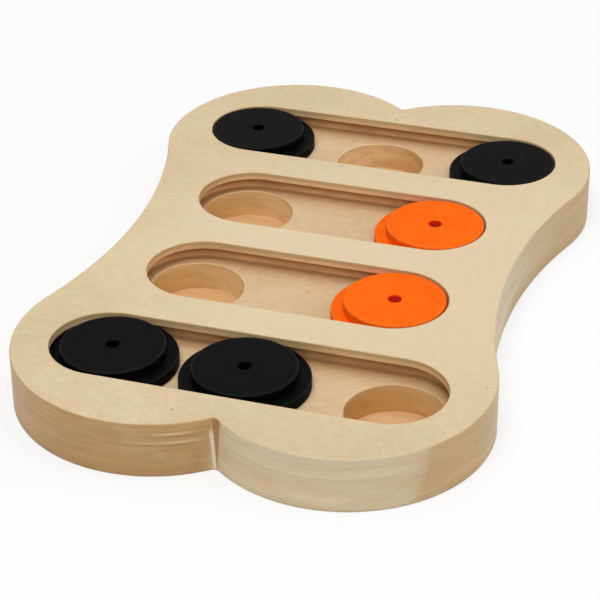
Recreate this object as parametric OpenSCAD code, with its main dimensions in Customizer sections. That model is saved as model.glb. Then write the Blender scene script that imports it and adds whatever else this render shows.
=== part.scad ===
/* [Board outline] */
// Distance from the middle of the board to a lobe's centre, across the board
lobe_x = 44; // [42:1:48]
// Distance from the middle of the board to a lobe's centre, along the board
lobe_y = 103; // [101:1:110]
// Radius of the four lobes
lobe_r = 67; // [66:1:70]
// Half the board's width at its waist
waist_half = 93.7; // [92:0.1:98]
// Radius of the inner corner between the two lobes of an end
notch_r = 3; // [2:0.5:6]

/* [Layers, from the top down] */
// Thickness of the top plate, whose slots keep the discs in
top_t = 4; // [3:0.5:5]
// Thickness of the channel plate, in which the wide foot of each disc runs
channel_t = 6.5; // [6:0.5:8]
// Thickness of the well plate, which is drilled right through
well_t = 14; // [10:0.5:16]
// Thickness of the bottom sheet, which closes the wells
sheet_t = 2.5; // [2:0.5:4]

/* [Slots] */
// Distance between the centre lines of neighbouring slots
slot_pitch = 74.2; // [73:0.1:75]
// Radius of a slot's round ends, which is half its width
slot_r = 26; // [25.5:0.1:26.5]
// Distance from the board's middle to the centre of a long slot's round end
long_slot_reach = 66; // [64:0.5:66]
// The same for a short slot
short_slot_reach = 47; // [45:0.5:48]
// Radius of the round ends of the channels under the slots
channel_r = 30.6; // [30.3:0.1:31]

/* [Wells] */
// Radius of the round wells
well_r = 22.5; // [20:0.5:24]
// Distance from the board's middle to the outer wells of a long slot
long_well_x = 69; // [66:0.5:70]
// The same for both wells of a short slot
short_well_x = 49.5; // [46:0.5:50]
// How far the front row's wells were drilled off the slot's centre line, towards the back
front_well_shift = -2; // [-3:0.5:3]
// The same for the second row
second_well_shift = 0; // [-3:0.5:3]
// The same for the third row
third_well_shift = 2.5; // [-3:0.5:3]
// The same for the back row
back_well_shift = -2; // [-3:0.5:3]

/* [Sliding discs] */
// Radius of a disc's cap, which stands in the slot
cap_r = 24.1; // [23.5:0.1:24.1]
// Radius of a disc's foot, which runs in the channel
foot_r = 29.8; // [29:0.1:29.8]
// Thickness of the cap
cap_t = 5.2; // [5:0.1:5.2]
// Thickness of the foot
foot_t = 5.2; // [5:0.1:5.2]
// Radius of the scent hole through a disc
scent_hole_r = 3; // [2.5:0.5:4]
// Play between a disc at the end of its slot and the slot's round end
end_play = 0.3; // [0.3:0.1:0.6]
// Where the left disc of the front row stands
front_left_disc_x = -63; // [-67:0.5:-61]
// Where the middle disc of the front row stands
front_middle_disc_x = -0.5; // [-1:0.5:4]
// Where the disc of the second row stands
second_row_disc_x = 47.9; // [46:0.1:48.6]
// Where the disc of the third row stands
third_row_disc_x = 48.1; // [46:0.1:48.6]

/* [Hidden] */
$fn = 96;
BEECH = [0.72, 0.57, 0.39];
FIBREBOARD = [0.87, 0.78, 0.63];
WELL_WOOD = [0.68, 0.49, 0.29];
BLACK = [0.10, 0.10, 0.10];
ORANGE = [1.00, 0.42, 0.09];
cut = 1;    // how far a cutting solid runs past the face that it cuts

board_t = top_t + channel_t + well_t + sheet_t;
well_z = sheet_t;
channel_z = well_z + well_t;
top_z = channel_z + channel_t;
row_y = [for (row = [0:3]) (row - 1.5) * slot_pitch];
FRONT = 0;
SECOND = 1;
THIRD = 2;
BACK = 3;
well_shift = [front_well_shift, second_well_shift, third_well_shift, back_well_shift];

// The waist arc touches both lobes of its side and passes through waist_half
waist_gap = waist_half - lobe_x;
waist_r = (waist_gap ^ 2 + lobe_y ^ 2 - lobe_r ^ 2) / (2 * (lobe_r - waist_gap));
waist_x = waist_half + waist_r;
waist_touch = [
    lobe_x + (waist_x - lobe_x) * lobe_r / (lobe_r + waist_r),
    lobe_y - lobe_y * lobe_r / (lobe_r + waist_r)
];
// The notch's small arc touches both lobes of its end
notch_y = lobe_y + sqrt((lobe_r + notch_r) ^ 2 - lobe_x ^ 2);
notch_touch = [
    lobe_x * notch_r / (lobe_r + notch_r),
    notch_y - (notch_y - lobe_y) * notch_r / (lobe_r + notch_r)
];

// A disc at the end of a slot leaves end_play at the slot and at the channel
long_stop = long_slot_reach + slot_r - cap_r - end_play;
short_stop = short_slot_reach + slot_r - cap_r - end_play;
long_channel_reach = long_stop + foot_r + end_play - channel_r;
short_channel_reach = short_stop + foot_r + end_play - channel_r;
disc_z = channel_z + 0.1;    // a disc slides on the well plate

// ---- outlines ----

module lobes() {
    for (side = [-1, 1], end = [-1, 1])
        translate([side * lobe_x, end * lobe_y]) circle(r = lobe_r, $fn = 180);
}

// Body between the lobes, before the waists are cut
module middle() {
    polygon([
        [-waist_touch[0], -waist_touch[1]], [-lobe_x, -lobe_y], [lobe_x, -lobe_y],
        [waist_touch[0], -waist_touch[1]], [waist_touch[0], waist_touch[1]],
        [lobe_x, lobe_y], [-lobe_x, lobe_y], [-waist_touch[0], waist_touch[1]]
    ]);
}

module waist_cuts() {
    for (side = [-1, 1])
        translate([side * waist_x, 0]) circle(r = waist_r, $fn = 360);
}

// Fills the sharp corner between the two lobes of an end, up to a small arc
module notch_fill() {
    for (turn = [0, 180])
        rotate(turn)
            difference() {
                polygon([
                    [0, lobe_y], [notch_touch[0], notch_touch[1]],
                    [0, notch_y], [-notch_touch[0], notch_touch[1]]
                ]);
                translate([0, notch_y]) circle(r = notch_r, $fn = 48);
            }
}

module board_outline() {
    difference() {
        union() {
            lobes();
            middle();
            notch_fill();
        }
        waist_cuts();
    }
}

// A slot with round ends: reach is the distance from its middle to each end's centre
module round_slot(reach, r) {
    square([2 * reach, 2 * r], center = true);
    for (side = [-1, 1])
        translate([side * reach, 0]) circle(r = r, $fn = 120);
}

module at_row(row) { translate([0, row_y[row]]) children(); }

module slot_set(long_reach, short_reach, r) {
    for (row = [FRONT, BACK])
        at_row(row) round_slot(long_reach, r);
    for (row = [SECOND, THIRD])
        at_row(row) round_slot(short_reach, r);
}

function well_places(row) =
    row == FRONT || row == BACK ? [-long_well_x, 0, long_well_x] : [-short_well_x, short_well_x];

// ---- board ----

module board_layer(z, t) {
    translate([0, 0, z]) linear_extrude(t) difference() {
        board_outline();
        children();
    }
}

module top_plate() {
    color(FIBREBOARD)
        board_layer(top_z, top_t) slot_set(long_slot_reach, short_slot_reach, slot_r);
}

module channel_plate() {
    color(FIBREBOARD)
        board_layer(channel_z, channel_t)
            slot_set(long_channel_reach, short_channel_reach, channel_r);
}

module well_plate() {
    color(WELL_WOOD) difference() {
        board_layer(well_z, well_t);
        for (row = [FRONT:BACK], x = well_places(row))
            translate([x, row_y[row] + well_shift[row], well_z - cut])
                cylinder(r = well_r, h = well_t + 2 * cut);
    }
}

module bottom_sheet() {
    color(BEECH) board_layer(0, sheet_t);
}

// ---- discs ----

module bored_disc(r, t) {
    difference() {
        cylinder(r = r, h = t);
        translate([0, 0, -cut]) cylinder(r = scent_hole_r, h = t + 2 * cut, $fn = 48);
    }
}

module disc_cap(x, row, paint) {
    color(paint)
        translate([x, row_y[row], disc_z + foot_t]) bored_disc(cap_r, cap_t);
}

module disc_foot(x, row, paint) {
    color(paint)
        translate([x, row_y[row], disc_z]) bored_disc(foot_r, foot_t);
}

module front_left_disc_cap() { disc_cap(front_left_disc_x, FRONT, BLACK); }
module front_left_disc_foot() { disc_foot(front_left_disc_x, FRONT, BLACK); }
module front_middle_disc_cap() { disc_cap(front_middle_disc_x, FRONT, BLACK); }
module front_middle_disc_foot() { disc_foot(front_middle_disc_x, FRONT, BLACK); }
module second_row_disc_cap() { disc_cap(second_row_disc_x, SECOND, ORANGE); }
module second_row_disc_foot() { disc_foot(second_row_disc_x, SECOND, ORANGE); }
module third_row_disc_cap() { disc_cap(third_row_disc_x, THIRD, ORANGE); }
module third_row_disc_foot() { disc_foot(third_row_disc_x, THIRD, ORANGE); }
module back_left_disc_cap() { disc_cap(-long_stop, BACK, BLACK); }
module back_left_disc_foot() { disc_foot(-long_stop, BACK, BLACK); }
module back_right_disc_cap() { disc_cap(long_stop, BACK, BLACK); }
module back_right_disc_foot() { disc_foot(long_stop, BACK, BLACK); }

top_plate();
channel_plate();
well_plate();
bottom_sheet();
front_left_disc_cap();
front_left_disc_foot();
front_middle_disc_cap();
front_middle_disc_foot();
second_row_disc_cap();
second_row_disc_foot();
third_row_disc_cap();
third_row_disc_foot();
back_left_disc_cap();
back_left_disc_foot();
back_right_disc_cap();
back_right_disc_foot();
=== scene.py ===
"""Looks of a wooden puzzle board for dogs: a lobed board of four glued plates, with round-ended
slots in which stepped round discs slide over treat wells. Lengths are in metres, and the frame
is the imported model's: X along the slots, Y from the front to the back, Z up."""
import math

import bmesh
import bpy
from mathutils import Matrix, Vector


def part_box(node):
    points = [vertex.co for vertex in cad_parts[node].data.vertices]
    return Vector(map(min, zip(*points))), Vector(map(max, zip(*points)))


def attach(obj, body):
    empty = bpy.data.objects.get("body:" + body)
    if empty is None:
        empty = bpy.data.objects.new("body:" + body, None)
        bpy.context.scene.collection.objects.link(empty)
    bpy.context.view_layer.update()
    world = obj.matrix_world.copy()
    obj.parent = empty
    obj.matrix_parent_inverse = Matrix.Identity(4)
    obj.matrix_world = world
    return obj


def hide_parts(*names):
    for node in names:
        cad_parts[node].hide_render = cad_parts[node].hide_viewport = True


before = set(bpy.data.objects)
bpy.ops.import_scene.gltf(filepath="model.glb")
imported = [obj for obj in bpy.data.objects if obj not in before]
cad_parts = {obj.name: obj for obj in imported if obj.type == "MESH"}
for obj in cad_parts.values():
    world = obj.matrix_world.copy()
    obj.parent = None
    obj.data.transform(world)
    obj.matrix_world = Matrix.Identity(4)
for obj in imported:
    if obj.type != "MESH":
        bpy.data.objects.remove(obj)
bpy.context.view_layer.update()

MM = 0.001
QUARTER_TURN = math.pi / 2

# ---- sizes that the frame gives ----

TOP_LOW, TOP_HIGH = (corner.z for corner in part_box("top_plate"))
CHANNEL_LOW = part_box("channel_plate")[0].z
WELL_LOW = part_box("well_plate")[0].z
HALF_WIDTH, HALF_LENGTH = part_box("top_plate")[1].xy
# one disc of each row, from the front to the back
ROWS = ["front_left_disc", "second_row_disc", "third_row_disc", "back_left_disc"]


def middle(node):
    """The middle of a node's box."""
    low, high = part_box(node)
    return (low + high) / 2


ROW_Y = [middle(disc + "_cap").y for disc in ROWS]
HALF_PITCH = (ROW_Y[2] - ROW_Y[1]) / 2

# ---- sizes of the board's outline, slots and wells ----

LOBE_RADIUS = 67 * MM
WAIST_HALF = 93.7 * MM
NOTCH_RADIUS = 3 * MM
SLOT_RADIUS = 26 * MM
LONG_SLOT_REACH, SHORT_SLOT_REACH = 66 * MM, 47 * MM
CHANNEL_RADIUS = 30.6 * MM
LONG_CHANNEL_REACH, SHORT_CHANNEL_REACH = 67.1 * MM, 48.1 * MM
WELL_RADIUS = 22.5 * MM
LONG_WELL_X, SHORT_WELL_X = 69 * MM, 49.5 * MM
WELL_SHIFT = [-2 * MM, 0, 2.5 * MM, -2 * MM]
SCENT_HOLE_RADIUS = 3 * MM

LOBE_X = HALF_WIDTH - LOBE_RADIUS
LOBE_Y = HALF_LENGTH - LOBE_RADIUS
WAIST_GAP = WAIST_HALF - LOBE_X
WAIST_RADIUS = (WAIST_GAP ** 2 + LOBE_Y ** 2 - LOBE_RADIUS ** 2) / (2 * (LOBE_RADIUS - WAIST_GAP))
WAIST_X = WAIST_HALF + WAIST_RADIUS
NOTCH_Y = LOBE_Y + math.sqrt((LOBE_RADIUS + NOTCH_RADIUS) ** 2 - LOBE_X ** 2)

# ---- how far the edges are rounded ----

SANDED_EDGE = 0.5 * MM      # outer edges of the top face and of the underside
SLOT_EDGE = 0.4 * MM
WELL_EDGE = 0.4 * MM
GLUED_EDGE = 0.06 * MM      # edges at the glue lines
CAP_EDGE = 0.9 * MM
FOOT_EDGE = 0.7 * MM
DISC_LOW_EDGE = 0.3 * MM
CAP_HOLE_EDGE, FOOT_HOLE_EDGE = 0.5 * MM, 0.1 * MM
SHARP_ANGLE = math.radians(50)      # an edge that turns further stays crisp

# ---- how many straight steps stand for an arc ----

CORNER_STEPS, RIM_STEPS = 4, 6
WAIST_STEPS, LOBE_STEPS, NOTCH_STEPS = 28, 80, 10
SLOT_END_STEPS, WELL_STEPS, DISC_STEPS = 48, 96, 160

# ---- how pale the wood is, from 0 to 1 ----

# (degrees around the board from the right, paleness of the outer side); the tones at -131
# and -122 degrees are held darker in part as painted shade on the left lobe's side
SIDE_TONES = [(-180, 0.8), (-152, 0.6), (-136, 0.6), (-131, 0.36), (-122, 0.26), (-112, 0.03),
              (-92, 0.0), (-90, 0.95), (-60.7, 0.95), (-60, 0.0), (-49, 0.05), (-43, 0.55),
              (-30, 1.0), (-6, 1.0), (16, 0.75), (34, 0.15), (58, 0.1), (64, 0.75), (88, 0.8),
              (91, 0.15), (124, 0.2), (127, 0.7), (150, 0.4), (180, 0.8)]
SIDE_LEAN = 2.4             # degrees that a border between two tones leans over the board's height
# (distance from the middle towards the right, paleness of the wells' walls)
WELL_TONES = [(-92 * MM, 0.2), (-72 * MM, 0.1), (-50 * MM, 0.55), (-28 * MM, 1.0), (-21 * MM, 0.9),
              (22 * MM, 0.2), (46 * MM, 0.0), (70 * MM, 0.2), (92 * MM, 0.6)]

# ---- marks in the wood ----

# (width of a cell, share of the cells with a speck, radius of a speck, how dark it is)
SPECKS = [(21 * MM, 0.12, 0.8 * MM, 0.65), (8 * MM, 0.07, 0.42 * MM, 0.55)]
# centre of a pool of painted light on the top face
LIGHT_POOL_CENTRE = (35 * MM, -10 * MM, TOP_HIGH)
PALE_PLIES = (TOP_HIGH - 5 * MM, TOP_HIGH - 9.5 * MM)       # levels of two plies in the side
GLUE_LINES = (TOP_LOW, CHANNEL_LOW, WELL_LOW)
FIBRE_RELIEF, BEECH_RELIEF = 0.02 * MM, 0.025 * MM
SIDE_RELIEF, CUT_RELIEF = 0.03 * MM, 0.04 * MM
PAINT_RELIEF = 0.012 * MM


# ---- colours ----

def linear(red, green, blue):
    """A colour as the eye names it, 0 to 255, as the shader wants it."""
    parts = []
    for part in (red, green, blue):
        share = part / 255
        parts.append(share / 12.92 if share <= 0.04045 else ((share + 0.055) / 1.055) ** 2.4)
    return (*parts, 1)


# a pressed board's pale, warm and deep tone
FACE_TONES = linear(221, 201, 164), linear(221, 194, 157), linear(210, 188, 149)
FLOOR_TONES = linear(220, 193, 155), linear(219, 185, 146), linear(207, 177, 137)
# the top face's tone in the middle of the pool of painted light
LIGHT_POOL_TONE = linear(231, 208, 175)
# painted shade on the channel floor under the lips of the top plate
FLOOR_UNDER_LIP_SHADE = linear(186, 142, 96)
BARK = linear(116, 88, 58)
BEECH, PALE_BEECH = linear(216, 172, 122), linear(230, 192, 146)
BEECH_PORE, SIDE_PORE = linear(150, 104, 62), linear(134, 98, 62)
RIGHT_SIDE, LEFT_SIDE = linear(196, 165, 120), linear(183, 144, 92)
PALE_SIDE = linear(214, 195, 163)
FLUSHED_SIDE, COOL_SIDE = linear(206, 160, 112), linear(206, 190, 164)
WARM_FOOT, DARKER_FOOT_TONE = linear(192, 158, 112), linear(140, 108, 72)
PALE_PLY, PLY_SHADOW, GLUE = linear(222, 194, 148), linear(136, 98, 58), linear(112, 82, 52)
PALE_STRIP, BURNT_STRIP = linear(230, 214, 186), linear(152, 106, 68)
# a wall's lower and upper tone
SLOT_TONES = linear(238, 201, 153), linear(207, 176, 130)
CHANNEL_TONES = linear(248, 203, 150), linear(188, 140, 92)
FRONT_CHANNEL = linear(176, 132, 88)
SLOT_BURN, CHANNEL_BURN = linear(184, 144, 96), linear(170, 124, 80)
OCHRE_WELL, PALE_WELL = linear(206, 163, 97), linear(243, 214, 172)
# the first is a painted highlight below the wells' rims
WELL_RIM_HIGHLIGHT, WELL_BURN = linear(228, 200, 160), linear(192, 142, 82)


# ---- flat shapes ----

def arc(x, y, radius, start, end, steps):
    """Points on an arc, from one angle to the other."""
    angles = [start + (end - start) * i / steps for i in range(steps + 1)]
    return [(x + radius * math.cos(a), y + radius * math.sin(a)) for a in angles]


def board_outline(inset):
    """The board's outline, that far inside its edge, anticlockwise from the right waist."""
    waist_turn = math.atan2(LOBE_Y, WAIST_X - LOBE_X)
    notch_turn = math.atan2(NOTCH_Y - LOBE_Y, LOBE_X)
    quarter = arc(WAIST_X, 0, WAIST_RADIUS + inset, math.pi, math.pi - waist_turn, WAIST_STEPS)
    quarter += arc(LOBE_X, LOBE_Y, LOBE_RADIUS - inset, -waist_turn, math.pi - notch_turn,
                   LOBE_STEPS)[1:]
    quarter += arc(0, NOTCH_Y, NOTCH_RADIUS + inset, -notch_turn, -QUARTER_TURN, NOTCH_STEPS)[1:]
    half = quarter + [(-x, y) for x, y in reversed(quarter[:-1])]
    return half[:-1] + [(-x, -y) for x, y in half[:-1]]


def round_slot(y, reach, radius):
    """A slot along X with round ends, anticlockwise."""
    return (arc(reach, y, radius, -QUARTER_TURN, QUARTER_TURN, SLOT_END_STEPS)
            + arc(-reach, y, radius, QUARTER_TURN, 3 * QUARTER_TURN, SLOT_END_STEPS))


def circle(x, y, radius):
    """A circle, anticlockwise."""
    return arc(x, y, radius, 0, 4 * QUARTER_TURN, WELL_STEPS)[:-1]


# ---- solids ----

FACE, SIDE, CUT = 0, 1, 2      # a plate's materials: flat faces, outer side, walls of its cuts
# the rim's paint is lighter, as a painted highlight, and the hole's paint darker, as painted shade
BODY, RIM_HIGHLIGHT, HOLE_SHADE = 0, 1, 2      # a disc's materials: its body, its rounded rim, the hole's wall


def edge_profile(low, high, low_edge, high_edge):
    """(inset, height) pairs from the upper face, down over its rounded edge, to the lower face."""
    turns = [QUARTER_TURN * i / CORNER_STEPS for i in range(CORNER_STEPS + 1)]
    upper = [(high_edge * (1 - math.sin(t)), high - high_edge * (1 - math.cos(t))) for t in turns]
    lower = [(low_edge * (1 - math.cos(t)), low + low_edge * (1 - math.sin(t))) for t in turns]
    return upper + lower


def link_mesh(bm, name, materials):
    """Turns a bmesh into an object with smooth round faces and crisp corners."""
    mesh = bpy.data.meshes.new(name)
    bm.normal_update()
    bm.to_mesh(mesh)
    bm.free()
    for material in materials:
        mesh.materials.append(material)
    mesh.shade_smooth()
    mesh.set_sharp_from_angle(angle=SHARP_ANGLE)
    piece = bpy.data.objects.new(name, mesh)
    bpy.context.scene.collection.objects.link(piece)
    flatten = piece.modifiers.new("flat_faces_stay_flat", "WEIGHTED_NORMAL")
    flatten.keep_sharp = True
    return piece


def add_wall(bm, loop, profile, is_hole, material):
    """Adds one wall of a plate, and returns its highest and lowest ring of edges."""
    rings = []
    for inset, z in profile:
        rings.append([bm.verts.new((x, y, z)) for x, y in loop(-inset if is_hole else inset)])
    count = len(rings[0])
    for upper, lower in zip(rings, rings[1:]):
        for i in range(count):
            j = (i + 1) % count
            corners = [upper[i], lower[i], lower[j], upper[j]]
            if is_hole:
                corners.reverse()
            bm.faces.new(corners).material_index = material
    return [[bm.edges.get((ring[i], ring[(i + 1) % count])) for i in range(count)]
            for ring in (rings[0], rings[-1])]


def turn_faces_up(faces, up):
    """Turns flat faces so that they look up, or down where up is -1."""
    for face in faces:
        face.normal_update()
        if face.normal.z * up < 0:
            face.normal_flip()


def plate(name, low, high, outer_edges, holes, hole_edges, materials):
    """A plate of the board. Edges are (lower, upper) roundings, and a hole is a function that
    gives its loop for an inset."""
    bm = bmesh.new()
    walls = [add_wall(bm, board_outline, edge_profile(low, high, *outer_edges), False, SIDE)]
    for hole in holes:
        walls.append(add_wall(bm, hole, edge_profile(low, high, *hole_edges), True, CUT))
    for side, up in ((0, 1), (1, -1)):
        edges = [edge for wall in walls for edge in wall[side]]
        made = bmesh.ops.triangle_fill(bm, use_beauty=True, use_dissolve=False, edges=edges,
                                       normal=(0, 0, up))
        faces = [part for part in made["geom"] if isinstance(part, bmesh.types.BMFace)]
        turn_faces_up(faces, up)
        for face in faces:
            face.material_index = FACE
    return link_mesh(bm, name, materials)


def disc_profile(radius, low, high, rim_edge, hole_edge):
    """A disc's (radius, height, material) profile, anticlockwise from its lower outer corner."""
    outside = arc(radius - DISC_LOW_EDGE, low + DISC_LOW_EDGE, DISC_LOW_EDGE, -QUARTER_TURN, 0,
                  CORNER_STEPS)
    rim = arc(radius - rim_edge, high - rim_edge, rim_edge, 0, QUARTER_TURN, RIM_STEPS)
    hole = arc(SCENT_HOLE_RADIUS + hole_edge, high - hole_edge, hole_edge, QUARTER_TURN,
               2 * QUARTER_TURN, CORNER_STEPS)
    points = [(r, z, BODY) for r, z in outside]
    # the rounded rim gets the lighter paint of a painted highlight
    points += [(r, z, RIM_HIGHLIGHT) for r, z in rim[:-1]] + [(*rim[-1], BODY)]
    # the hole's wall gets the darker paint of painted shade in the hole
    points += [(r, z, HOLE_SHADE) for r, z in hole]
    return points + [(SCENT_HOLE_RADIUS, low, BODY)]


def turned_ring(name, x, y, profile, materials):
    """A turned piece: a closed profile around an upright axis."""
    bm = bmesh.new()
    rings = []
    for i in range(DISC_STEPS):
        turn = 2 * math.pi * i / DISC_STEPS
        rings.append([bm.verts.new((x + r * math.cos(turn), y + r * math.sin(turn), z))
                      for r, z, _ in profile])
    count = len(profile)
    for i in range(DISC_STEPS):
        here, there = rings[i], rings[(i + 1) % DISC_STEPS]
        for j in range(count):
            k = (j + 1) % count
            face = bm.faces.new((here[j], there[j], there[k], here[k]))
            face.material_index = profile[j][2]
    return link_mesh(bm, name, materials)


# ---- shader nodes ----

# the sockets of a Mix node that mixes colours
MIX_SHARE, MIX_FIRST, MIX_SECOND, MIX_RESULT = 0, 6, 7, 2


def feed(mat, socket, value):
    """Sets a socket to a value, or links it to another node's socket."""
    if isinstance(value, bpy.types.NodeSocket):
        mat.node_tree.links.new(value, socket)
    else:
        socket.default_value = value


def node(mat, kind, inputs=None, **settings):
    """Adds a node. inputs maps a socket's name or number to a value or another node's socket."""
    made = mat.node_tree.nodes.new(kind)
    for key, value in settings.items():
        setattr(made, key, value)
    for key, value in (inputs or {}).items():
        feed(mat, made.inputs[key], value)
    return made


def calculate(mat, operation, *values):
    """One step of arithmetic on values or sockets."""
    return node(mat, "ShaderNodeMath", dict(enumerate(values)), operation=operation).outputs[0]


def product(mat, first, *others):
    """All of them multiplied."""
    for other in others:
        first = calculate(mat, "MULTIPLY", first, other)
    return first


def rescale(mat, value, from_low, from_high, to_low=0.0, to_high=1.0, smooth=True):
    """Maps a value from one range to another, and holds it there."""
    made = node(mat, "ShaderNodeMapRange",
                {"Value": value, "From Min": from_low, "From Max": from_high,
                 "To Min": to_low, "To Max": to_high},
                interpolation_type="SMOOTHSTEP" if smooth else "LINEAR")
    return made.outputs[0]


def ramp(mat, value, stops):
    """Reads off a list of (value, tone) pairs, straight between them."""
    low, high = stops[0][0], stops[-1][0]
    made = node(mat, "ShaderNodeValToRGB", {0: rescale(mat, value, low, high, smooth=False)})
    elements = made.color_ramp.elements
    while len(elements) < len(stops):
        elements.new(1.0)
    for element, (at, tone) in zip(elements, stops):
        element.position = (at - low) / (high - low)
        element.color = (tone, tone, tone, 1)
    return made.outputs[0]


def mix(mat, share, first, second, blend="MIX"):
    """Mixes two colours: the first where share is 0, the second where it is 1."""
    made = node(mat, "ShaderNodeMix", data_type="RGBA", blend_type=blend)
    feed(mat, made.inputs[MIX_SHARE], share)
    feed(mat, made.inputs[MIX_FIRST], first)
    feed(mat, made.inputs[MIX_SECOND], second)
    return made.outputs[MIX_RESULT]


def tint(mat, colour, amount, strength):
    """Makes a colour lighter where amount is above a half, and darker where it is below."""
    grey = calculate(mat, "MULTIPLY_ADD", amount, strength, 1 - strength / 2)
    shade = node(mat, "ShaderNodeCombineXYZ", {0: grey, 1: grey, 2: grey}).outputs[0]
    return mix(mat, 1.0, colour, shade, blend="MULTIPLY")


def own_place(mat):
    """A point's place in the frame, which moves along with its piece."""
    return node(mat, "ShaderNodeTexCoord").outputs["Object"]


def own_parts(mat):
    """The X, Y and Z of that place."""
    return node(mat, "ShaderNodeSeparateXYZ", {0: own_place(mat)}).outputs


def noise(mat, scale, detail=2.0, rough=0.5, distortion=0.0, at=None):
    """Noise from 0 to 1 with so many bumps per metre along X, Y and Z."""
    stretch = scale if isinstance(scale, tuple) else (scale, scale, scale)
    vector = node(mat, "ShaderNodeMapping", {"Vector": at or own_place(mat), "Scale": stretch})
    made = node(mat, "ShaderNodeTexNoise",
                {"Vector": vector.outputs[0], "Scale": 1.0, "Detail": detail, "Roughness": rough,
                 "Distortion": distortion})
    return made.outputs["Fac"]


def clouds(mat, low, high, scale, detail=2.0, rough=0.5, distortion=0.0, at=None, most=1.0):
    """Soft patches: 0 where the noise is under low, and most where it is over high."""
    return rescale(mat, noise(mat, scale, detail, rough, distortion, at), low, high, 0.0, most)


def wander(mat, reach, scale, rough=0.5):
    """A value that drifts by up to reach to either side of 0."""
    return calculate(mat, "MULTIPLY_ADD", noise(mat, scale, 3.0, rough), 2 * reach, -reach)


def bent_place(mat, rise):
    """A point's place, its level shifted up or down by up to rise, as grain wanders."""
    x, y, z = own_parts(mat)
    wave = noise(mat, (17, 17, 26), 3.0)
    bent = calculate(mat, "MULTIPLY_ADD", wave, 2 * rise, calculate(mat, "SUBTRACT", z, rise))
    return node(mat, "ShaderNodeCombineXYZ", {0: x, 1: y, 2: bent}).outputs[0]


def new_material(name):
    """An empty material with nodes."""
    mat = bpy.data.materials.new(name)
    mat.use_nodes = True
    mat.node_tree.nodes.clear()
    return mat


def finish_material(mat, colour, roughness, height, depth, specular=0.3):
    """Ends a material in a shader with that colour, roughness and relief."""
    shader = node(mat, "ShaderNodeBsdfPrincipled",
                  {"Base Color": colour, "Roughness": roughness, "Specular IOR Level": specular})
    bump = node(mat, "ShaderNodeBump", {"Height": height, "Distance": depth, "Strength": 1.0})
    feed(mat, shader.inputs["Normal"], bump.outputs[0])
    output = node(mat, "ShaderNodeOutputMaterial")
    feed(mat, output.inputs["Surface"], shader.outputs[0])
    return mat


# ---- flat faces of the board ----

def specks(mat, spacing, share, radius):
    """Specks of bark, 1 in a speck and 0 outside, in that share of cells so far apart."""
    cells = node(mat, "ShaderNodeTexVoronoi", {"Vector": own_place(mat), "Scale": 1 / spacing},
                 voronoi_dimensions="2D")
    draw = node(mat, "ShaderNodeSeparateXYZ", {0: cells.outputs["Color"]}).outputs[0]
    chosen = calculate(mat, "LESS_THAN", draw, share)
    size = radius / spacing
    speck = rescale(mat, cells.outputs["Distance"], size * 0.4, size, 1.0, 0.0)
    return product(mat, speck, chosen)


def fibreboard(mat, pale, warm, deep):
    """Colour and relief of a sanded pressed board: cloudy tone, fibres lying all ways, specks."""
    colour = mix(mat, clouds(mat, 0.32, 0.68, 60, 4.0, 0.65, 0.5), pale, warm)
    patches = clouds(mat, 0.35, 0.65, 16, distortion=0.2)
    colour = mix(mat, product(mat, patches, 0.6), colour, deep)
    colour = tint(mat, colour, clouds(mat, 0.3, 0.7, 230, 3.0, 0.6, 0.4), 0.075)
    along = noise(mat, (420, 2600, 900), 2.0, 0.6, 0.3)
    across = noise(mat, (2600, 420, 900), 2.0, 0.6, 0.3)
    fibres = product(mat, calculate(mat, "ADD", along, across), 0.5)
    colour = tint(mat, colour, rescale(mat, fibres, 0.3, 0.7, smooth=False), 0.19)
    colour = tint(mat, colour, noise(mat, 2400, 2.0, 0.7), 0.12)
    for spacing, share, radius, darkness in SPECKS:
        shown = product(mat, specks(mat, spacing, share, radius), darkness)
        colour = mix(mat, shown, colour, BARK)
    return colour, fibres


def board_face():
    """Sanded top face, with a pool of painted light right of the middle."""
    mat = new_material("board_face")
    colour, fibres = fibreboard(mat, *FACE_TONES)
    # painted light: the face is paler near the pool's centre and slightly darker far from it
    away = node(mat, "ShaderNodeVectorMath", {0: own_place(mat), 1: LIGHT_POOL_CENTRE},
                operation="DISTANCE").outputs["Value"]
    colour = tint(mat, colour, rescale(mat, away, 60 * MM, 170 * MM, 0.5, 0.1), 0.05)
    in_light_pool = rescale(mat, away, 50 * MM, 165 * MM, 0.6, 0.0)
    colour = mix(mat, in_light_pool, colour, LIGHT_POOL_TONE)
    roughness = rescale(mat, noise(mat, 120), 0.3, 0.7, 0.52, 0.64)
    return finish_material(mat, colour, roughness, fibres, FIBRE_RELIEF)


def channel_distance(mat):
    """How far a point of the channel floor is from the middle line of its own row's channel."""
    x, y, _ = own_parts(mat)
    off_middle = calculate(mat, "ABSOLUTE", y)
    is_long = calculate(mat, "GREATER_THAN", off_middle, 2 * HALF_PITCH)
    reach = calculate(mat, "MULTIPLY_ADD", is_long, LONG_CHANNEL_REACH - SHORT_CHANNEL_REACH,
                      SHORT_CHANNEL_REACH)
    beyond = calculate(mat, "SUBTRACT", calculate(mat, "ABSOLUTE", x), reach)
    along = calculate(mat, "MAXIMUM", beyond, 0.0)
    folded = calculate(mat, "ABSOLUTE", calculate(mat, "SUBTRACT", off_middle, 2 * HALF_PITCH))
    across = calculate(mat, "SUBTRACT", folded, HALF_PITCH)
    offset = node(mat, "ShaderNodeCombineXYZ", {0: along, 1: across}).outputs[0]
    return node(mat, "ShaderNodeVectorMath", {0: offset}, operation="LENGTH").outputs["Value"]


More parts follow.
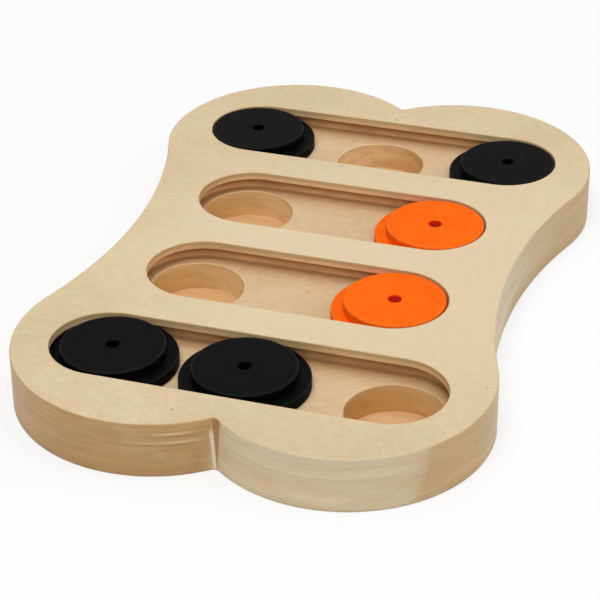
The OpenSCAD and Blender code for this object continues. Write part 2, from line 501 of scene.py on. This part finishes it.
def channel_floor():
    """Floor of the channels, with painted shade under the lips of the top plate that browns it
    towards the walls and eases off in the last 2.2 millimetres before them."""
    mat = new_material("channel_floor")
    colour, fibres = fibreboard(mat, *FLOOR_TONES)
    distance = channel_distance(mat)
    off_line = calculate(mat, "ADD", distance, wander(mat, 2.5 * MM, 130, 0.6))
    # painted shade under the lips: browner towards the channel walls, less so right at their foot
    near_wall = rescale(mat, off_line, 9.5 * MM, CHANNEL_RADIUS - 2.5 * MM, smooth=False)
    shade_eased_at_foot = rescale(mat, distance, CHANNEL_RADIUS - 2.2 * MM, CHANNEL_RADIUS, 1.0, 0.35)
    brown = product(mat, near_wall, near_wall, shade_eased_at_foot, 0.97)
    colour = mix(mat, brown, colour, FLOOR_UNDER_LIP_SHADE)
    streaks = clouds(mat, 0.35, 0.65, (30, 700, 30), 3.0, 0.6, 0.3)
    colour = tint(mat, colour, streaks, 0.035)
    roughness = rescale(mat, noise(mat, (40, 300, 40)), 0.3, 0.7, 0.45, 0.62)
    return finish_material(mat, colour, roughness, fibres, FIBRE_RELIEF)


def pores(mat, size, share, at=None):
    """Short dark pores of wood, 1 in a pore and 0 beside it, of that length, width and height."""
    dashes = noise(mat, tuple(1 / length for length in size), 1.0, 0.4, 0.3, at)
    return rescale(mat, dashes, 0.72 - share, 0.80 - share)


def sheet_face():
    """Thin beech sheet that closes the wells from below, its grain along X."""
    mat = new_material("sheet_face")
    figure = clouds(mat, 0.3, 0.7, (7, 90, 90), 4.0, 0.6, 1.4)
    colour = mix(mat, figure, BEECH, PALE_BEECH)
    lines = noise(mat, (28, 1100, 1100), 3.0, 0.6, 0.3)
    colour = tint(mat, colour, lines, 0.16)
    rays = pores(mat, (1.6 * MM, 0.35 * MM, 0.35 * MM), 0.05)
    colour = mix(mat, product(mat, rays, 0.45), colour, BEECH_PORE)
    roughness = rescale(mat, lines, 0.3, 0.7, 0.46, 0.62)
    return finish_material(mat, colour, roughness, lines, BEECH_RELIEF)


# ---- outer side of the board ----

def wall_lines(mat, length, at=None):
    """Fine level lines that a cutter and the wood's layers leave on an upright wall."""
    return noise(mat, (1 / length, 1 / length, 1500), 3.0, 0.6, 0.2, at)


def wall_roughness(mat, lines):
    """Roughness of a wall with such lines."""
    return rescale(mat, lines, 0.3, 0.7, 0.45, 0.6)


def side_turn(mat):
    """Where a point of the side lies around the board, in degrees from the right,
    anticlockwise."""
    x, y, z = own_parts(mat)
    turn = product(mat, calculate(mat, "ARCTAN2", y, x), 180 / math.pi)
    lean = product(mat, z, SIDE_LEAN / TOP_HIGH)
    drift = wander(mat, 1.2, (60, 60, 160))
    return calculate(mat, "ADD", turn, calculate(mat, "SUBTRACT", drift, lean))


def side_wood(mat, turn, bent):
    """Tone of the side, which changes around the board and from layer to layer."""
    left_share = rescale(mat, own_parts(mat)[0], -4 * MM, 4 * MM, 1.0, 0.0)
    colour = mix(mat, left_share, RIGHT_SIDE, LEFT_SIDE)
    # paleness around the board; on the left lobe it is held down in part as painted shade
    colour = mix(mat, ramp(mat, turn, SIDE_TONES), colour, PALE_SIDE)
    bands = clouds(mat, 0.28, 0.72, (11, 11, 230), 4.0, 0.62, 0.9, bent)
    colour = tint(mat, colour, bands, 0.15)
    flush = clouds(mat, 0.42, 0.7, (22, 22, 95), 3.0, 0.6, 1.2, bent, most=0.35)
    colour = mix(mat, flush, colour, FLUSHED_SIDE)
    cool = clouds(mat, 0.5, 0.75, (26, 26, 70), 3.0, 0.6, 0.8, most=0.3)
    return mix(mat, cool, colour, COOL_SIDE)


def level_band(mat, level, at, half_height):
    """1 on a level line and 0 beyond half its height."""
    away = calculate(mat, "ABSOLUTE", calculate(mat, "SUBTRACT", level, at))
    return rescale(mat, away, half_height * 0.3, half_height, 1.0, 0.0)


def plies(mat, colour, turn):
    """Draws the pale plies left of the front notch, and the faint glue lines all around."""
    level = calculate(mat, "ADD", own_parts(mat)[2], wander(mat, 0.6 * MM, (45, 45, 120)))
    fade = clouds(mat, 0.34, 0.58, (28, 28, 40))
    left_of_notch = rescale(mat, turn, -114, -97, 0.1, 1.0)
    before_notch = rescale(mat, turn, -92, -90, 1.0, 0.1)
    for at in PALE_PLIES:
        shadow = level_band(mat, level, at - 1.3 * MM, 0.7 * MM)
        band = level_band(mat, level, at, 1.1 * MM)
        shown = product(mat, fade, left_of_notch, before_notch, 0.8)
        colour = mix(mat, product(mat, shadow, shown, 0.5), colour, PLY_SHADOW)
        colour = mix(mat, product(mat, band, shown), colour, PALE_PLY)
    for at in GLUE_LINES:
        shown = product(mat, level_band(mat, level, at, 0.35 * MM), fade, 0.2)
        colour = mix(mat, shown, colour, GLUE)
    return colour


def notch_strips(mat, colour):
    """Draws the pale and the burnt strip that the cutter left in the notches."""
    x, y, z = own_parts(mat)
    in_notch = rescale(mat, calculate(mat, "ABSOLUTE", y), NOTCH_Y - 8 * MM, NOTCH_Y - 4 * MM)
    leaned = calculate(mat, "MULTIPLY_ADD", z, 1.8 * MM / TOP_HIGH, x)
    widened = calculate(mat, "MULTIPLY_ADD", z, -2.2 * MM / TOP_HIGH, x)
    low_down = rescale(mat, z, TOP_LOW - 5 * MM, TOP_LOW, 1.0, 0.0)
    pale = product(mat, rescale(mat, leaned, -0.9 * MM, -0.5 * MM), low_down, in_notch, 0.85,
                   rescale(mat, leaned, 0.8 * MM, 1.2 * MM, 1.0, 0.0))
    burnt = product(mat, rescale(mat, leaned, 0.7 * MM, 1.2 * MM), in_notch, 0.75,
                    rescale(mat, widened, 0.7 * MM, 1.5 * MM, 1.0, 0.0))
    colour = mix(mat, pale, colour, PALE_STRIP)
    return mix(mat, burnt, colour, BURNT_STRIP)


def warm_waist_foot(mat, colour, turn):
    """Warms the lowest part of the right waist."""
    at_waist = product(mat, rescale(mat, turn, -8, 6), rescale(mat, turn, 30, 40, 1.0, 0.0))
    low_down = rescale(mat, own_parts(mat)[2], 2 * MM, 10 * MM, 0.6, 0.0)
    return mix(mat, product(mat, low_down, at_waist), colour, WARM_FOOT)


def darken_towards_bottom(mat, colour):
    """Darkens the side unevenly towards its lowest edge."""
    level = calculate(mat, "MULTIPLY_ADD", noise(mat, 70, 3.0), 2.4 * MM, own_parts(mat)[2])
    # darker towards the bottom edge
    return mix(mat, rescale(mat, level, 1.4 * MM, 3.0 * MM, 0.4, 0.0), colour, DARKER_FOOT_TONE)


def board_side():
    """Sanded outer side: level grain, whose tone changes around the board."""
    mat = new_material("board_side")
    turn = side_turn(mat)
    bent = bent_place(mat, 3 * MM)
    colour = side_wood(mat, turn, bent)
    colour = plies(mat, colour, turn)
    colour = notch_strips(mat, colour)
    colour = warm_waist_foot(mat, colour, turn)
    lines = wall_lines(mat, 22 * MM, bent)
    colour = tint(mat, colour, lines, 0.16)
    dashes = pores(mat, (5 * MM, 5 * MM, 0.32 * MM), 0.06, bent)
    colour = mix(mat, product(mat, dashes, 0.3), colour, SIDE_PORE)
    colour = darken_towards_bottom(mat, colour)
    return finish_material(mat, colour, wall_roughness(mat, lines), lines, SIDE_RELIEF)


# ---- walls of the cuts ----

def cut_wall(mat, colour, burnt, burn_share):
    """Finishes a routed or drilled wall: level cutter lines and brown burnished patches."""
    burn = clouds(mat, 0.42, 0.66, (38, 38, 130), 3.0, 0.6, 0.4, most=burn_share)
    colour = mix(mat, burn, colour, burnt)
    lines = wall_lines(mat, 16 * MM)
    colour = tint(mat, colour, lines, 0.16)
    return finish_material(mat, colour, wall_roughness(mat, lines), lines, CUT_RELIEF)


def two_tone(mat, lower, upper, change, blur):
    """Lower and upper colour of a wall, with a slightly uneven change between them."""
    level = calculate(mat, "MULTIPLY_ADD", noise(mat, (40, 40, 90)), 0.5 * MM, own_parts(mat)[2])
    share = rescale(mat, level, change + 0.25 * MM - blur, change + 0.25 * MM + blur)
    return mix(mat, share, lower, upper)


def slot_wall():
    """Wall of the slots in the top plate."""
    mat = new_material("slot_wall")
    colour = two_tone(mat, *SLOT_TONES, TOP_LOW + 2 * MM, 0.7 * MM)
    return cut_wall(mat, colour, SLOT_BURN, 0.3)


def channel_wall():
    """Wall of the channels, darker in the front row."""
    mat = new_material("channel_wall")
    colour = two_tone(mat, *CHANNEL_TONES, CHANNEL_LOW + 2.2 * MM, 1.5 * MM)
    border = -2 * HALF_PITCH        # between the front row and the second row
    in_front = rescale(mat, own_parts(mat)[1], 1.06 * border, border, 0.4, 0.0)
    colour = mix(mat, in_front, colour, FRONT_CHANNEL)
    return cut_wall(mat, colour, CHANNEL_BURN, 0.35)


def well_wall():
    """Drilled wall, whose wood is ochre and pale by turns across the board, with a painted
    highlight below its rim.
    """
    mat = new_material("well_wall")
    x, _, z = own_parts(mat)
    colour = mix(mat, ramp(mat, x, WELL_TONES), OCHRE_WELL, PALE_WELL)
    colour = tint(mat, colour, clouds(mat, 0.3, 0.7, (24, 24, 160), 4.0, 0.6, 1.0), 0.12)
    # painted highlight: the wall turns paler towards its rim
    level = calculate(mat, "MULTIPLY_ADD", noise(mat, (40, 40, 90)), 1.2 * MM, z)
    rim = rescale(mat, level, CHANNEL_LOW - 2.8 * MM, CHANNEL_LOW - 0.4 * MM, 0.0, 0.4)
    colour = mix(mat, rim, colour, WELL_RIM_HIGHLIGHT)
    return cut_wall(mat, colour, WELL_BURN, 0.35)


# ---- paints ----

def paint(name, main, other, specular):
    """Matt paint on turned wood: nearly even, with a fine orange peel and the grain showing."""
    mat = new_material(name)
    peel = noise(mat, 900)
    grain = noise(mat, (60, 1300, 400), 3.0, 0.6, 0.4)
    colour = mix(mat, clouds(mat, 0.35, 0.65, 90, 3.0), main, other)
    colour = tint(mat, colour, grain, 0.06)
    relief = calculate(mat, "MULTIPLY_ADD", grain, 0.4, peel)
    roughness = rescale(mat, noise(mat, 400, 3.0), 0.3, 0.7, 0.48, 0.55)
    return finish_material(mat, colour, roughness, relief, PAINT_RELIEF, specular)


def black_paints():
    """Body, rim with a painted highlight, and hole with painted shade, of a black disc."""
    return [paint("black_paint", linear(6, 6, 6), linear(8, 7, 7), 0.025),
            paint("black_rim_highlight", linear(13, 13, 13), linear(16, 16, 16), 0.06),
            paint("black_hole_shade", linear(3, 3, 3), linear(5, 5, 5), 0.02)]


def orange_paints():
    """Body, rim with a painted highlight, and hole with painted shade, of an orange disc."""
    return [paint("orange_paint", linear(252, 103, 7), linear(254, 108, 11), 0.04),
            paint("orange_rim_highlight", linear(253, 110, 18), linear(255, 116, 24), 0.08),
            paint("orange_hole_shade", linear(226, 50, 22), linear(232, 58, 26), 0.02)]


# ---- the board ----

def slot_cuts(radius, long_reach, short_reach):
    """The four slots, front to back, each as a function of its inset."""
    reaches = (long_reach, short_reach, short_reach, long_reach)
    return [lambda inset, y=y, reach=reach: round_slot(y, reach, radius - inset)
            for y, reach in zip(ROW_Y, reaches)]


def well_cuts():
    """The ten wells, each as a function of its inset."""
    long_row, short_row = (-LONG_WELL_X, 0, LONG_WELL_X), (-SHORT_WELL_X, SHORT_WELL_X)
    rows = (long_row, short_row, short_row, long_row)
    return [lambda inset, x=x, y=y + shift: circle(x, y, WELL_RADIUS - inset)
            for row, y, shift in zip(rows, ROW_Y, WELL_SHIFT) for x in row]


def top_plate(side):
    """The sanded top plate with its slots."""
    slots = slot_cuts(SLOT_RADIUS, LONG_SLOT_REACH, SHORT_SLOT_REACH)
    return plate("top_plate_sanded", TOP_LOW, TOP_HIGH, (GLUED_EDGE, SANDED_EDGE),
                 slots, (SLOT_EDGE, SLOT_EDGE), [board_face(), side, slot_wall()])


def channel_plate(side, floor):
    """The plate with the channels, which are wider than the slots above them."""
    channels = slot_cuts(CHANNEL_RADIUS, LONG_CHANNEL_REACH, SHORT_CHANNEL_REACH)
    return plate("channel_plate_routed", CHANNEL_LOW, TOP_LOW, (GLUED_EDGE, GLUED_EDGE),
                 channels, (GLUED_EDGE, GLUED_EDGE), [floor, side, channel_wall()])


def well_plate(side, floor):
    """The thick plate with the wells, on which the discs slide."""
    return plate("well_plate_drilled", WELL_LOW, CHANNEL_LOW, (GLUED_EDGE, GLUED_EDGE),
                 well_cuts(), (GLUED_EDGE, WELL_EDGE), [floor, side, well_wall()])


def bottom_sheet(side):
    """The thin sheet under the wells."""
    return plate("bottom_sheet_sanded", 0, WELL_LOW, (SANDED_EDGE, GLUED_EDGE),
                 [], (GLUED_EDGE, GLUED_EDGE), [sheet_face(), side])


def build_board():
    """The four glued plates."""
    side, floor = board_side(), channel_floor()
    for piece, cad_node, slot in ((top_plate(side), "top_plate", "top_board"),
                                  (channel_plate(side, floor), "channel_plate", "channel_board"),
                                  (well_plate(side, floor), "well_plate", "well_board"),
                                  (bottom_sheet(side), "bottom_sheet", "bottom_board")):
        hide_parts(cad_node)
        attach(piece, "board")


# ---- the discs ----

def build_disc(disc, materials):
    """A disc's cap and foot, rounded at the edges and painted."""
    for part, edge, hole_edge in (("_cap", CAP_EDGE, CAP_HOLE_EDGE),
                                  ("_foot", FOOT_EDGE, FOOT_HOLE_EDGE)):
        cad_node = disc + part
        low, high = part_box(cad_node)
        centre = middle(cad_node)
        profile = disc_profile((high.x - low.x) / 2, low.z, high.z, edge, hole_edge)
        piece = turned_ring(cad_node + "_turned", centre.x, centre.y, profile, materials)
        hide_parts(cad_node)
        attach(piece, disc)


def build_discs():
    """Four black discs in the long slots and two orange ones in the short slots."""
    black, orange = black_paints(), orange_paints()
    for disc in ("front_left_disc", "front_middle_disc", "back_left_disc", "back_right_disc"):
        build_disc(disc, black)
    for disc in ("second_row_disc", "third_row_disc"):
        build_disc(disc, orange)


# ---- studio ----

CAMERA_PLACE = Vector((272.9, -892.9, 562.9)) * MM
CAMERA_YAW = math.radians(-17.574)     # to the left of the board's Y axis
CAMERA_PITCH = math.radians(31.246)    # below the horizontal
CAMERA_ROLL = math.radians(-0.408)
CAMERA_LENS, SENSOR_WIDTH = 133.85, 36     # millimetres
CLIP_START = 10 * MM
FLOOR_HALF = 3.0
FLOOR_OVERLAP = 1 * MM      # how far the floor reaches under the board
AMBIENT = 0.3
PAPER = (0.94, 0.94, 0.94, 1)
WHITE = (1, 1, 1, 1)
FLOOR_WHITE = 0.7           # share of pure white in the floor that the camera sees
# name, place, size in metres and power in watts
LAMPS = [("overhead", (0, 0.3, 3.0), 3.0, 27),
         ("key", (-0.4, -1.2, 3.7), 1.8, 43),
         ("front_fill", (0.7, -2.7, 2.1), 2.4, 24),
         ("right_fill", (2.8, 0.5, 2.0), 2.0, 19),
         ("underside_fill", (0.3, -0.6, -2.5), 2.0, 40)]


def look_matrix(at, forward, roll):
    """Places a camera or lamp so that it looks along forward."""
    right = forward.cross(Vector((0, 0, 1))).normalized()
    up = right.cross(forward)
    turned_right = right * math.cos(roll) + up * math.sin(roll)
    turned_up = up * math.cos(roll) - right * math.sin(roll)
    turn = Matrix((turned_right, turned_up, -forward)).transposed().to_4x4()
    return Matrix.Translation(at) @ turn


def add_camera():
    """The camera, which looks from the front right, down on the board."""
    forward = Vector((math.sin(CAMERA_YAW) * math.cos(CAMERA_PITCH),
                      math.cos(CAMERA_YAW) * math.cos(CAMERA_PITCH),
                      -math.sin(CAMERA_PITCH)))
    lens = bpy.data.cameras.new("camera")
    lens.sensor_width = SENSOR_WIDTH
    lens.lens = CAMERA_LENS
    lens.clip_start = CLIP_START
    camera = bpy.data.objects.new("camera", lens)
    camera.matrix_world = look_matrix(CAMERA_PLACE, forward, CAMERA_ROLL)
    bpy.context.scene.collection.objects.link(camera)
    bpy.context.scene.camera = camera


def add_lamp(name, at, size, power):
    """A round soft lamp that points at the board."""
    light = bpy.data.lights.new(name, "AREA")
    light.shape = "DISK"
    light.size = size
    light.energy = power
    lamp = bpy.data.objects.new(name, light)
    lamp.matrix_world = look_matrix(Vector(at), -Vector(at).normalized(), 0)
    bpy.context.scene.collection.objects.link(lamp)


def seen_rays(mat):
    """1 for rays that show the background: straight to the camera, in a gloss or through glass."""
    path = node(mat, "ShaderNodeLightPath").outputs
    seen = calculate(mat, "MAXIMUM", path["Is Camera Ray"], path["Is Glossy Ray"])
    return calculate(mat, "MAXIMUM", seen, path["Is Transmission Ray"])


def add_world():
    """Even light from all around. Seen directly or in a gloss, it is white."""
    world = bpy.data.worlds.new("studio")
    world.use_nodes = True
    world.node_tree.nodes.clear()
    strength = calculate(world, "MULTIPLY_ADD", seen_rays(world), 1 - AMBIENT, AMBIENT)
    light = node(world, "ShaderNodeBackground", {"Color": WHITE, "Strength": strength})
    output = node(world, "ShaderNodeOutputWorld")
    feed(world, output.inputs["Surface"], light.outputs[0])
    bpy.context.scene.world = world


def floor_white():
    """White paper from above, and clear from below."""
    mat = new_material("floor_white")
    paper = node(mat, "ShaderNodeBsdfDiffuse", {"Color": PAPER})
    white = node(mat, "ShaderNodeEmission", {"Color": WHITE, "Strength": 1.0})
    share = product(mat, seen_rays(mat), FLOOR_WHITE)
    above = node(mat, "ShaderNodeMixShader", {0: share, 1: paper.outputs[0], 2: white.outputs[0]})
    below = node(mat, "ShaderNodeBsdfTransparent")
    is_below = node(mat, "ShaderNodeNewGeometry").outputs["Backfacing"]
    blend = node(mat, "ShaderNodeMixShader",
                 {0: is_below, 1: above.outputs[0], 2: below.outputs[0]})
    output = node(mat, "ShaderNodeOutputMaterial")
    feed(mat, output.inputs["Surface"], blend.outputs[0])
    return mat


def add_floor():
    """The floor around the board, which keeps the soft shadow. It has an opening under the board,
    so that the underside is open to view."""
    bm = bmesh.new()
    square = [(x * FLOOR_HALF, y * FLOOR_HALF) for x, y in ((-1, -1), (1, -1), (1, 1), (-1, 1))]
    edges = []
    for loop in (square, board_outline(FLOOR_OVERLAP)):
        ring = [bm.verts.new((x, y, 0)) for x, y in loop]
        edges += [bm.edges.new((ring[i - 1], ring[i])) for i in range(len(ring))]
    bmesh.ops.triangle_fill(bm, use_beauty=True, use_dissolve=False, edges=edges, normal=(0, 0, 1))
    turn_faces_up(bm.faces, 1)
    mesh = bpy.data.meshes.new("floor")
    bm.to_mesh(mesh)
    bm.free()
    mesh.materials.append(floor_white())
    floor = bpy.data.objects.new("floor", mesh)
    bpy.context.scene.collection.objects.link(floor)


def build_studio():
    """Camera, lamps, world and floor."""
    add_camera()
    for lamp in LAMPS:
        add_lamp(*lamp)
    add_world()
    add_floor()
    bpy.context.scene.view_settings.view_transform = "Standard"


build_board()
build_discs()
build_studio()
